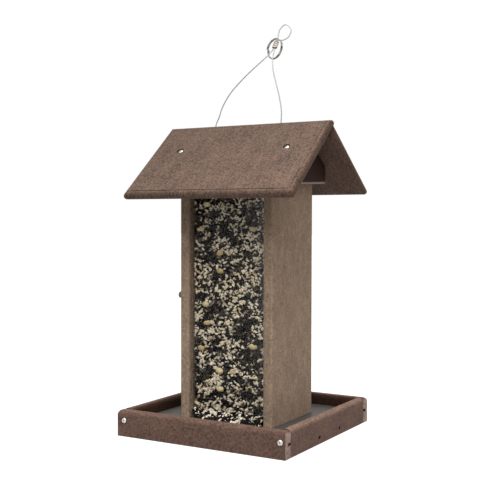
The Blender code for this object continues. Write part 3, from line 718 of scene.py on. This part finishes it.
def formedMetal(name, light, dark, roughness, marksAndReflectionsEvery, mouth=None):
    material, tree, shader = newMaterial(name, {"Metallic": 1.0, "Roughness": roughness})
    place = addNode(tree, "TexCoord", out="Object")
    # real marks are finer than a pixel, so they are drawn a millimetre and more apart; on the ring the same
    # noise, six millimetres across, paints reflections
    marksAndReflectionsLook = {"Scale": 1 / marksAndReflectionsEvery, "Detail": 3, "Roughness": 0.65}
    marks = addNode(tree, "TexNoise", marksAndReflectionsLook, {"Vector": place})
    level = addNode(tree, "MapRange", {1: 0.35, 2: 0.65}, {0: marks})
    shades = {"data_type": "RGBA", 6: linear(dark), 7: linear(light)}
    colour = addNode(tree, "Mix", shades, {0: level}, out=2)
    if mouth:
        # painted shade in the open mouth at the lower end of a sleeve
        height = addNode(tree, "SeparateXYZ", links={0: place}, out="Z")
        amount = addNode(tree, "MapRange", {1: mouth[1], 2: mouth[0]}, {0: height})
        shaded = {"data_type": "RGBA", "blend_type": "MULTIPLY", 7: (0.04, 0.04, 0.04, 1)}
        colour = addNode(tree, "Mix", shaded, {0: amount, 6: colour}, out=2)
    wear = {1: 0.3, 2: 0.7, 3: roughness - 0.07, 4: roughness + 0.1}
    rough = addNode(tree, "MapRange", wear, {0: marks})
    bump = addNode(tree, "Bump", {"Strength": 0.15, "Distance": 0.0001}, {"Height": marks})
    wire(tree, shader, {"Base Color": colour, "Roughness": rough, "Normal": bump})
    return material


# pan and flat head screws are bright, pane screws blackened with a dull gleam, plank screws nearly black
stainless = formedMetal("tumbledStainlessSteel", "#dcd9d3", "#aaa69f", 0.30, 0.0012)
darkSteel = formedMetal("blackenedSteel", "#6b6966", "#3d3b39", 0.42, 0.0010)
oxidedSteel = formedMetal("blackOxidedSteel", "#1c1917", "#0b0a09", 0.60, 0.0010)
# the ring's plated wire is painted in long light and dark patches, a painted reflection; cable, lugs and
# sleeve are paler and dull
springSteel = formedMetal("platedSpringWire", "#a8a6a1", "#1e1d1c", 0.22, 0.0060)
strandedZinc = formedMetal("galvanisedStrand", "#aaaaa7", "#9c9c99", 0.50, 0.0040)
crimpMetal = formedMetal("pressedAluminium", "#b5aaa1", "#958a81", 0.55, 0.0016)
mouth = [sleeve["foot"][2] + rise for rise in sleeve["mouth"]]
sleeveMetal = formedMetal("crimpedAluminium", "#b5aaa1", "#958a81", 0.55, 0.0016, mouth)

start, end = cable["legStretch"]
for piece, (name, side) in zip(legs, bothSides):
    finishPiece(piece, strandedZinc, None, [name + "_cable_leg"])
    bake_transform(piece)
finishPiece(hanger, strandedZinc, None, ["hanger_cable"])
finishPiece(crimp, sleeveMetal, "base", ["cable_sleeve"])
finishPiece(splitRing, springSteel, "ring", ["split_ring"])
start, end = cable["hangerBend"]
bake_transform(hanger)
setMaterial(nodes["tray_floor"], greySheet())
for material, names in ((crimpMetal, ("left_cable_lug", "right_cable_lug")),
                        (stainless, ("lug_screw_left", "lug_screw_right")),
                        (darkSteel, ("front_pane_screw", "back_pane_screw"))):
    for name in names:
        setMaterial(nodes[name], material)
print("metal and floor finished")


# screws with a cross recess, modelled once of each kind, head up at the origin, then copied

screw = {"shank": 0.0017, "pan": 0.0034, "panHeight": 0.0024, "flat": 0.0036, "trim": 0.0026,
         "flatHeight": 0.0032, "flatRim": 0.0004, "gap": 0.0003, "recess": 0.0019, "slot": 0.00048,
         "recessDepth": 0.0015}
# screws from below, where they start under the plank
under = {"plank": 0.0015, "uprightX": 0.05825, "uprightY": 0.030, "baffleX": 0.025}


def modelScrew(kind, length, sink):
    # rings are (radius, height)
    shank, head, tall = screw["shank"], screw[kind], screw["panHeight"]
    rings = [(shank * 0.15, -length), (shank, -length + 2 * shank)]
    if kind == "pan":
        base = screw["gap"] - sink
        top = base + tall
        dome = ((1.0, 0.0), (1.0, 0.28), (0.97, 0.50), (0.90, 0.70), (0.76, 0.87), (0.55, 0.97), (0.30, 1.0))
        rings += [(shank, base)] + [(head * out, base + 0.00001 + tall * up) for out, up in dome]
    else:
        top = -sink
        rings += [(shank, top - screw["flatHeight"]), (head, top - screw["flatRim"]), (head, top - 0.0001),
                  (head * 0.96, top)]
    piece = loft(kind + "Screw", [(radius, radius, z) for radius, z in rings], sides=36)
    reach = min(screw["recess"], head * 0.6)
    for wide, deep in ((reach, screw["slot"]), (screw["slot"], reach)):
        cutter = loft("recess", [(wide * 0.5, deep * 0.5, top - screw["recessDepth"]), (wide, deep, top),
                                 (wide, deep, top + 0.001)])
        cutAway(piece, [cutter])
    return smooth(piece, 40)


def placeScrews(kind, places, body, length, sink, material=stainless):
    pattern = modelScrew(kind, length, sink)
    for count, (node, point, inward) in enumerate(places):
        piece = pattern.copy()
        piece.data = pattern.data.copy()
        bpy.context.scene.collection.objects.link(piece)
        piece.name = camelName(node)
        outward = (-Vector(inward)).to_track_quat("Z", "Y").to_matrix().to_4x4()
        spun = Matrix.Rotation(0.5 + 1.13 * count, 4, "Z")      # no two recesses stand alike
        piece.matrix_world = Matrix.Translation(point) @ outward @ spun
        bakePlace(piece)
        finishPiece(piece, material, body, [node])
    bpy.data.objects.remove(pattern, do_unlink=True)


half = tray["half"]
corners = [(face + "_" + side, sx, sy)
           for face, sy in (("front", -1), ("back", 1)) for side, sx in bothSides]
for end, x, sink in zip((-1, 1), tray["cornerX"], (tray["leftSink"], 0.0)):
    marks = [("tray_screw_" + name, (x, sy * half, tray["cornerScrewHeight"]), (0, -sy, 0))
             for name, sx, sy in corners if sx == end]
    placeScrews("pan", marks, "base", length=0.030, sink=sink)
marks = [("plank_screw_" + name, (sx * half, sy * tray["sideHole"] / 2, tray["sideHoleHeight"]), (-sx, 0, 0))
         for name, sx, sy in corners]
placeScrews("trim", marks, "base", length=0.032, sink=0.0006, material=oxidedSteel)
upward = (0, 0, 1)
marks = [("upright_screw_" + name, (sx * under["uprightX"], sy * under["uprightY"], under["plank"]), upward)
         for name, sx, sy in corners]
placeScrews("flat", marks, "base", length=0.044, sink=0.0003)
marks = [("baffle_screw_" + name, (sx * under["baffleX"], 0, under["plank"]), upward)
         for name, sx in bothSides]
placeScrews("flat", marks, "base", length=0.030, sink=0.0003)
marks = [("roof_screw_" + name, *roofScrewMark(sy, roof["screwX"][sx > 0])) for name, sx, sy in corners]
placeScrews("pan", marks, "roof", length=0.030, sink=roof["sink"])
print("screws placed")


# panes: clear polycarbonate, polished sheet whose faces hardly show and whose edges catch the light

def clearSheet():
    settings = {"Base Color": linear("#f4f8f8"), "Roughness": 0.05, "IOR": 1.585, "Transmission Weight": 1.0}
    material, tree, shader = newMaterial("clearPolycarbonate", settings)
    facing = addNode(tree, "LayerWeight", {"Blend": 0.25}, out="Facing")
    wire(tree, shader, {"Alpha": addNode(tree, "MapRange", {3: 0.01, 4: 0.6}, {0: facing})})
    return material


clearPane = clearSheet()
for face in ("front", "back"):
    low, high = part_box(face + "_pane")
    pane = addBox(low, high, face + "Pane")
    bevelEdges(pane, lambda one, two: True, hopper["paneEdge"], segments=2)
    finishPiece(smooth(pane), clearPane, face + "_pane", [face + "_pane"])
print("panes made")


# seed mix: black sunflower seeds, pale hearts, slim grey-brown seeds and a few maize kernels

seedMix = {
    "pane": 0.0441,        # seeds touch the panes from inside here
    "side": 0.0503,        # and stay inside the uprights
    "floor": 0.0178,
    "paneFoot": 0.0296,
    "top": 0.3085,
    "crown": 0.0150,       # how far the seed rises from the panes to the middle
    "patch": 0.0150,       # size of the patches in which one kind lies together
    # half of the width that is laid with seeds, and their spacing across it and up it or inwards
    "darkRows": (0.0490, 0.0058, 0.0034),
    "paleRows": (0.0500, 0.0031, 0.0023),
    "topRows": (0.0470, 0.0050, 0.0034),
    "clear": (0.041, 0.010),            # the cable's legs and lugs lie past the one and within the other
    "kernelRoom": (0.0058, 0.0042),     # half the room that a kernel takes against a pane
    "hearts": 0.80,        # share of the pale places that hold a heart
    "slim": 0.19,          # share of the dark places that hold a slim seed
    "streak": 0.0014286,   # width of the streaks on a husk, coarser than real ones, so that they show
    "random": 11,
}
mound = {
    "seeds": 1500,
    "buried": 600,
    "half": 0.0495,        # of its length along a pane
    "start": 0.0385,       # it starts behind the pane, falls from the crest and ends at the foot
    "crest": 0.0460,
    "foot": 0.0620,
    "cornerEnd": 0.0470,   # its left end, seen from outside, where it tapers
    "taper": 0.018,
    "ragged": 0.20,        # share by which its edge wanders
    "wander": 0.010,       # and the size of those wanderings
    "bed": 0.0012,         # the least that a seed's middle lies over the floor
    "broad": ((0.020, 0.0545), (-0.012, 0.0560), (0.041, 0.0520)),      # big striped seeds on top
    "broadHeight": 0.0255,
}
seedKinds = {
    "sunflower": {"husk": "blackSunflowerHusk", "size": (0.0092, 0.0048, 0.0034), "dark": "#050404",
                  "light": "#2e2925", "rough": 0.50},
    "heart": {"husk": "shelledHeart", "size": (0.0046, 0.0027, 0.0019), "dark": "#c4a36c",
              "light": "#fff5e0", "rough": 0.55},
    "striped": {"husk": "greyBrownHusk", "size": (0.0062, 0.0025, 0.0019), "dark": "#33291f",
                "light": "#e6dcc8", "rough": 0.5},
    "kernel": {"husk": "driedMaize", "size": (0.0118, 0.0080, 0.0064), "dark": "#a8834a",
               "light": "#f2dfb2", "rough": 0.45},
}
# the few maize kernels that lie against a pane, across it and up it
kernelSpots = ((-0.0328, 0.2804), (-0.0415, 0.2498), (0.0321, 0.2503), (-0.0154, 0.2208), (-0.0140, 0.1990),
               (-0.0341, 0.1578), (-0.0326, 0.1345), (-0.0414, 0.1031), (0.0324, 0.1097), (-0.0152, 0.0769),
               (-0.0123, 0.0552))
rng = np.random.default_rng(seedMix["random"])


def seedShape(kind, variant):
    # one seed at its size, its length along X and its flat side up
    deselect()
    length, width, thick = seedKinds[kind]["size"]
    if kind == "heart":
        bpy.ops.mesh.primitive_ico_sphere_add(subdivisions=1, radius=0.5)
    else:
        segments, count = (14, 9) if kind == "kernel" else (6, 5)
        bpy.ops.mesh.primitive_uv_sphere_add(segments=segments, ring_count=count, radius=0.5,
                                             rotation=(0, math.pi / 2, 0))
    piece = bakePlace(bpy.context.object)
    editAll(piece)
    if kind != "kernel":
        bpy.ops.transform.vertex_random(offset=0.13 if kind == "heart" else 0.03, seed=variant + 1)
    bpy.ops.transform.resize(value=(length, width, thick))
    objectMode()
    if kind in ("sunflower", "striped"):
        # drawn out to a point at one end, and blunt at the other
        for v in piece.data.vertices:
            part = max(0.0, v.co.x / length + 0.5)
            v.co.y *= 1.12 - 0.55 * part ** 2.2
            v.co.z *= 1.10 - 0.50 * part ** 2.2
    points = np.array([tuple(v.co) for v in piece.data.vertices])
    faces = [tuple(p.vertices) for p in piece.data.polygons]
    bpy.data.objects.remove(piece, do_unlink=True)
    return points - (points.max(0) + points.min(0)) / 2, faces


shapes = {kind: [seedShape(kind, variant) for variant in range(1 if kind == "kernel" else 5)]
          for kind in seedKinds}
laid = {(kind, face): {"points": [], "faces": [], "tones": [], "count": 0}
        for kind in seedKinds for face in (-1, 1)}


def layTurn(flat, spin, tip, roll):
    # flat is the way a seed's flat side faces; spin turns it about that way, tip and roll tilt it
    base = Vector(flat).to_track_quat("Z", "Y").to_matrix()
    turn = Matrix.Rotation(spin, 3, "Z") @ Matrix.Rotation(tip, 3, "X") @ Matrix.Rotation(roll, 3, "Y")
    return np.array(base @ turn)


def pressedTurn(flat, spin, tip, roll, about=0.0):
    return layTurn(flat, rng.normal(about, spin), rng.normal(0, tip), rng.normal(0, roll))


def fallenTurn(flat):
    return layTurn(flat, rng.uniform(0, 6.3), rng.normal(0, 0.3), rng.normal(0, 0.3))


def lay(kind, face, place, turn, scale, tone, limitY=None):
    points, faces = shapes[kind][int(rng.integers(len(shapes[kind])))]
    points = (points * scale) @ turn.T + np.array(place)
    low, high = points.min(0), points.max(0)
    # nothing passes through the panes, the uprights or the floor
    if limitY is not None:
        outer = (high[1] if face > 0 else -low[1]) - limitY
        points[:, 1] -= face * outer
    points[:, 0] += max(0, -seedMix["side"] - low[0]) - max(0, high[0] - seedMix["side"])
    points[:, 2] += max(0, seedMix["floor"] - low[2])
    heap = laid[kind, face]
    heap["points"].append(points)
    heap["faces"] += [tuple(k + heap["count"] for k in f) for f in faces]
    heap["tones"].append(np.full(len(points), tone))
    heap["count"] += len(points)


def patchiness(x, z, face, size):
    return noise.noise(Vector((x, face * 0.3 + 0.07, z)) / size)


def seedTop(y):
    return seedMix["top"] + seedMix["crown"] * (1 - (abs(y) / seedMix["pane"]) ** 2)


def onKernel(x, z, face):
    # true where a kernel lies, so that nothing else covers it
    wide, tall = seedMix["kernelRoom"]
    away = ((x * -face - kernelX, z - kernelZ) for kernelX, kernelZ in kernelSpots)
    return any((dx / wide) ** 2 + (dz / tall) ** 2 < 1 for dx, dz in away)


def behindPane(face):
    flat = (0, face, 0)
    # a full layer of dark seeds, then hearts and slim seeds in patches against the pane
    half, across, up = seedMix["darkRows"]
    for z in np.arange(seedMix["floor"] + 0.002, seedMix["top"], up):
        for x in np.arange(-half, half, across):
            place = (x + rng.normal(0, 0.0016), 0, z + rng.normal(0, 0.0010))
            turn = pressedTurn(flat, 0.75, 0.35, 0.30)
            deep = seedMix["pane"] - abs(rng.normal(0.0014, 0.0012))
            lay("sunflower", face, place, turn, rng.uniform(0.75, 1.1), rng.uniform(0, 1) ** 1.8, deep)
    half, across, up = seedMix["paleRows"]
    for z in np.arange(seedMix["floor"] + 0.002, seedMix["top"], up):
        for x in np.arange(-half, half, across):
            px, pz = x + rng.normal(0, 0.0010), z + rng.normal(0, 0.0007)
            if onKernel(px, pz, face):
                continue
            here = patchiness(px, pz * 1.5, face, seedMix["patch"])
            here += 0.5 * patchiness(px + 0.9, pz, face, 0.005)
            place, deep = (px, 0, pz), seedMix["pane"] - abs(rng.normal(0, 0.0010))
            if here > 0.03 + rng.normal(0, 0.07):
                if rng.uniform() < seedMix["hearts"]:
                    turn = pressedTurn(flat, 0.8, 0.5, 0.45)
                    lay("heart", face, place, turn, rng.uniform(0.6, 1.45), rng.uniform(0, 1) ** 0.45, deep)
            elif rng.uniform() < seedMix["slim"]:
                turn = pressedTurn(flat, 0.8, 0.4, 0.3, about=0.6)
                tone = 0.95 if rng.uniform() < 0.25 else 0.55 * rng.uniform()
                lay("striped", face, place, turn, rng.uniform(0.7, 1.2), tone, deep)


def onTop(face):
    half, across, inwards = seedMix["topRows"]
    clearX, clearY = seedMix["clear"]
    for y in np.arange(0.0015, seedMix["pane"] - 0.002, inwards):
        for x in np.arange(-half, half, across):
            px, py = x + rng.normal(0, 0.0012), face * (y + rng.normal(0, 0.0008))
            # the cable's legs and lugs stay clear
            if abs(px) > clearX and abs(py) < clearY:
                continue
            pale = patchiness(px, py, face, seedMix["patch"]) > 0.05
            kind, power = ("heart", 0.7) if pale else ("sunflower", 2.2)
            turn = fallenTurn((0, face * 0.3, 1))
            place = (px, py, seedTop(py) - 0.001)
            lay(kind, face, place, turn, rng.uniform(0.8, 1.2), rng.uniform(0, 1) ** power)
            if pale:
                lay("sunflower", face, (px, py, seedTop(py) - 0.004), turn, 1.0, 0.1)


def moundAtFoot(face):
    # seed that has run out under the pane, whole and bright where the light falls on it
    floor, start, crest, foot = seedMix["floor"], mound["start"], mound["crest"], mound["foot"]
    half, bed = mound["half"], mound["bed"]
    for count in range(mound["seeds"]):
        buried = count < mound["buried"]
        out = rng.uniform(0, 1) ** 1.35
        x, y = rng.uniform(-half, half), start + out * (foot - start)
        corner = max(0.001, min(1.0, (mound["cornerEnd"] + face * -x) / mound["taper"]))
        wander = noise.noise(Vector((x, face, 0.2)) / mound["wander"])
        edge = corner * (0.86 + mound["ragged"] * wander)
        slope = max(0.0, 1 - max(0.0, (y - crest) / ((foot - crest) * edge)))
        if slope <= 0:
            continue
        surface = floor + (seedMix["paneFoot"] - bed - floor) * slope
        z = max(floor + bed, surface - bed - rng.uniform(0, 0.002) - (0.003 if buried else 0))
        here = rng.uniform()
        kind = "sunflower" if buried or here < 0.50 else "heart" if here < 0.86 else "striped"
        turn = fallenTurn((0, face * 0.45, 1))
        tone = rng.uniform(0, 1) ** 2.2 if kind == "sunflower" else rng.uniform(0.75, 1)
        size = rng.uniform(0.75, 1.05) if kind == "sunflower" else rng.uniform(1.0, 1.75)
        lay(kind, face, (x, face * y, z), turn, size, tone)
    for x, y in mound["broad"]:
        turn = layTurn((0, face * 0.8, 1), rng.normal(0, 0.4), 0, 0)
        lay("striped", face, (x * -face, face * y, mound["broadHeight"]), turn, 1.7, 0.75)


def kernels(face):
    for x, z in kernelSpots:
        turn = pressedTurn((0, face, 0), 0.15, 0.1, 0.15)
        size, tone = rng.uniform(0.85, 1.0), rng.uniform(0.3, 1)
        lay("kernel", face, (x * -face, 0, z), turn, size, tone, seedMix["pane"] + 0.0001)


for face in (-1, 1):
    behindPane(face)
    onTop(face)
    moundAtFoot(face)
    kernels(face)


def seedMaterial(look):
    # husk and kernel: dull with a soft waxy shine, each seed with its own tone, and fine streaks over it
    settings = {"Roughness": look["rough"], "Specular IOR Level": 0.06}
    material, tree, shader = newMaterial(look["husk"], settings)
    place = addNode(tree, "TexCoord", out="Object")
    tone = addNode(tree, "Attribute", {"attribute_name": "tone"}, out="Fac")
    streakLook = {"Scale": 1 / seedMix["streak"], "Detail": 2, "Roughness": 0.6}
    streak = addNode(tree, "TexNoise", streakLook, {"Vector": place})
    shift = addNode(tree, "MapRange", {1: 0.3, 2: 0.7, 3: -0.22, 4: 0.22}, {0: streak})
    level = addNode(tree, "Math", {"operation": "ADD", "use_clamp": True}, {0: tone, 1: shift})
    shades = {"data_type": "RGBA", 6: linear(look["dark"]), 7: linear(look["light"])}
    colour = addNode(tree, "Mix", shades, {0: level}, out=2)
    bump = addNode(tree, "Bump", {"Strength": 0.2, "Distance": 0.0002}, {"Height": streak})
    wire(tree, shader, {"Base Color": colour, "Normal": bump})
    return material


husks = {kind: seedMaterial(look) for kind, look in seedKinds.items()}
total = 0
for (kind, face), heap in laid.items():
    name = kind + "Seeds" + ("Front" if face < 0 else "Back")
    piece = meshFrom(name, np.vstack(heap["points"]), heap["faces"])
    tones = piece.data.attributes.new("tone", "FLOAT", "POINT")
    tones.data.foreach_set("value", np.concatenate(heap["tones"]))
    smooth(piece, 60)
    setMaterial(piece, husks[kind])
    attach(piece, "base")
    total += heap["count"]
print("seeds laid:", total)


# the rest of the fill, which hardly shows between the seeds

core = {"low": (-0.0515, -0.0395, 0.0405), "high": (0.0515, 0.0395, 0.316), "cuts": 30, "lump": 0.0012,
        "lumpSize": 0.004, "sunk": 0.006, "lugTop": 0.300, "clear": (0.0445, 0.0110), "speck": 0.002381,
        "dark": "#15120f", "light": "#6b5a3c"}


def shadedSeedFill():
    # the seeds further in: matt, nearly black with brown specks, their own dark husks and painted shade in
    # the gaps between the seeds in front
    material, tree, shader = newMaterial("shadedSeedFill", {"Roughness": 0.9})
    place = addNode(tree, "TexCoord", out="Object")
    specksLook = {"Scale": 1 / core["speck"], "Detail": 3, "Roughness": 0.7}
    specks = addNode(tree, "TexNoise", specksLook, {"Vector": place})
    level = addNode(tree, "MapRange", {1: 0.45, 2: 0.70}, {0: specks})
    shades = {"data_type": "RGBA", 6: linear(core["dark"]), 7: linear(core["light"])}
    wire(tree, shader, {"Base Color": addNode(tree, "Mix", shades, {0: level}, out=2)})
    return material


def fillCore():
    piece = addBox(core["low"], core["high"], "seedFill")
    editAll(piece)
    bpy.ops.mesh.subdivide(number_cuts=core["cuts"])
    objectMode()
    clearX, clearY = core["clear"]
    for v in piece.data.vertices:
        lump = core["lump"] * noise.noise(Vector(v.co) / core["lumpSize"]) - core["lump"]
        v.co.y += math.copysign(lump, v.co.y)
        if v.co.z > core["lugTop"]:
            v.co.z = seedTop(v.co.y) - core["sunk"] + lump
        # the fill stays below the cable's lugs
        if abs(v.co.x) > clearX and abs(v.co.y) < clearY and v.co.z > core["lugTop"]:
            v.co.z = core["lugTop"]
    setMaterial(piece, shadedSeedFill())
    smooth(piece, 60)
    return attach(piece, "base")


fillCore()
print("hopper filled")


# soft studio light, a white floor that keeps the shadow, and a white background

light = {
    "around": 0.03,        # how much the background lights, which the camera sees as white
    "soft": 40,            # degrees across a lamp, so that shadows fade out
    # the way to each lamp and its strength
    "lamps": {"ceiling": ((0, 0, 1), 1.95), "front": ((0, -0.6, 0.8), 1.30),
              "window": ((0.5, -0.47, 0.72), 1.20), "side": ((0.95, -0.1, 0.3), 0.41)},
    "floorAlbedo": 0.33,   # a grey floor throws little light up,
    "floorGlow": 0.90,     # and glows for the camera, so that it shows white with a faint shadow
}


def addLight():
    world = bpy.data.worlds.new("studio")
    bpy.context.scene.world = world
    world.use_nodes = True
    tree = world.node_tree
    sky = tree.nodes["Background"]
    sky.inputs["Color"].default_value = (1, 1, 1, 1)
    level = addNode(tree, "MapRange", {3: light["around"], 4: 1.0}, {0: seenInPicture(tree)})
    wire(tree, sky, {"Strength": level})
    for name, (way, strength) in light["lamps"].items():
        deselect()
        bpy.ops.object.light_add(type="SUN", location=Vector(way) * 2)
        lamp = bpy.context.object
        lamp.name = name + "Light"
        lamp.rotation_euler = Vector(way).to_track_quat("Z", "Y").to_euler()
        lamp.data.energy = strength
        lamp.data.angle = math.radians(light["soft"])


def addFloor():
    deselect()
    bpy.ops.mesh.primitive_plane_add(size=24, location=(0, 0, -0.0003))
    floor = bakePlace(bpy.context.object)
    floor.name = "studioFloor"
    paper = {"Roughness": 1.0, "Specular IOR Level": 0.0, "Emission Color": (1, 1, 1, 1),
             "Base Color": (light["floorAlbedo"],) * 3 + (1,)}
    material, tree, shader = newMaterial("whitePaper", paper)
    glow = addNode(tree, "MapRange", {3: 0.0, 4: light["floorGlow"]}, {0: seenInPicture(tree)})
    wire(tree, shader, {"Emission Strength": glow})
    setMaterial(floor, material)


addLight()
addFloor()
bpy.context.scene.view_settings.view_transform = "Standard"
